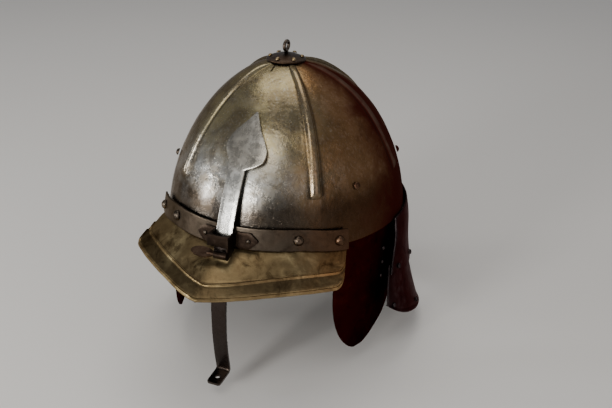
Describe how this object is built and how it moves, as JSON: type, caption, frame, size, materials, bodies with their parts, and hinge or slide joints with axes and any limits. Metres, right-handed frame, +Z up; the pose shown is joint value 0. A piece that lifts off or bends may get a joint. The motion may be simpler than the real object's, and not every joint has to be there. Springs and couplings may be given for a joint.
{
  "type": "horseman's helmet with peak, nasal bar, cheek pieces and neck guard",
  "caption": "Ribbed steel helmet with a pointed peak, a sliding leaf-headed nasal bar, hanging cheek pieces and a flared neck guard.",
  "frame": {"origin": "centre of the head opening, in the plane of the skull's rim", "axes": "+Z up through the crown; the wearer faces -Y; +X is the wearer's left"},
  "size_m": [0.2366, 0.3214, 0.2673],
  "materials": {
    "steel": "hammered steel with a brown patina",
    "band_steel": "dark worn steel",
    "peak_steel": "steel with a yellow patina and brown stains",
    "bright_steel": "steel rubbed bright by sliding",
    "rusty_steel": "rusty steel",
    "russet_steel": "dark russet steel",
    "guard_steel": "grey steel with a reddish rolled edge",
    "rivet_steel": "pale steel, domed",
    "rivet_brass": "old brass",
    "leather": "dark plain leather"
  },
  "bodies": {
    "helmet": {"skull": "steel", "brow_band": "band_steel", "peak": "peak_steel", "crown_disc": "peak_steel", "crown_eye": "bright_steel", "nasal_staple": "band_steel", "cheek_piece_left": "russet_steel", "cheek_piece_right": "russet_steel", "upper_lame": "guard_steel", "lower_lame": "guard_steel", "cheek_leather_left": "leather", "cheek_leather_right": "leather", "guard_leather_1": "leather", "guard_leather_2": "leather", "guard_leather_3": "leather", "band_rivet_1": "rivet_steel", "band_rivet_2": "rivet_steel", "band_rivet_3": "rivet_steel", "band_rivet_4": "rivet_steel", "skull_rivet_1": "rivet_steel", "skull_rivet_2": "rivet_steel", "skull_rivet_3": "rivet_steel", "skull_rivet_4": "rivet_steel", "skull_rivet_5": "rivet_steel", "staple_rivet_1": "rivet_steel", "staple_rivet_2": "rivet_steel", "cheek_rivet_left_1": "rivet_steel", "cheek_rivet_left_2": "rivet_steel", "cheek_rivet_left_3": "rivet_steel", "cheek_rivet_right_1": "rivet_steel", "cheek_rivet_right_2": "rivet_steel", "cheek_rivet_right_3": "rivet_steel", "upper_lame_rivet_1": "rivet_steel", "upper_lame_rivet_2": "rivet_steel", "upper_lame_rivet_3": "rivet_steel", "upper_lame_rivet_4": "rivet_steel", "upper_lame_rivet_5": "rivet_steel", "upper_lame_rivet_6": "rivet_steel", "lower_lame_rivet_1": "rivet_steel", "lower_lame_rivet_2": "rivet_steel", "lower_lame_rivet_3": "rivet_steel", "lower_lame_rivet_4": "rivet_steel", "lower_lame_rivet_5": "rivet_steel", "lower_lame_rivet_6": "rivet_steel", "disc_rivet_1": "rivet_brass", "disc_rivet_2": "rivet_brass", "disc_rivet_3": "rivet_brass", "disc_rivet_4": "rivet_brass", "disc_rivet_5": "rivet_brass", "disc_rivet_6": "rivet_brass"},
    "nasal": {"nasal_bar": "bright_steel"},
    "screw": {"thumb_screw": "rusty_steel"}
  },
  "joints": [
    {"name": "nasal_slide", "type": "hinge", "parent": "helmet", "child": "nasal", "pos_m": [0, 0.07708, -0.0496], "axis": [-1, 0, 0], "range_deg": [-13, 20]},
    {"name": "screw_turn", "type": "hinge", "parent": "helmet", "child": "screw", "pos_m": [-0.012, -0.1352, 0.0012], "axis": [1, 0, 0], "range_deg": [0, 270]}
  ]
}
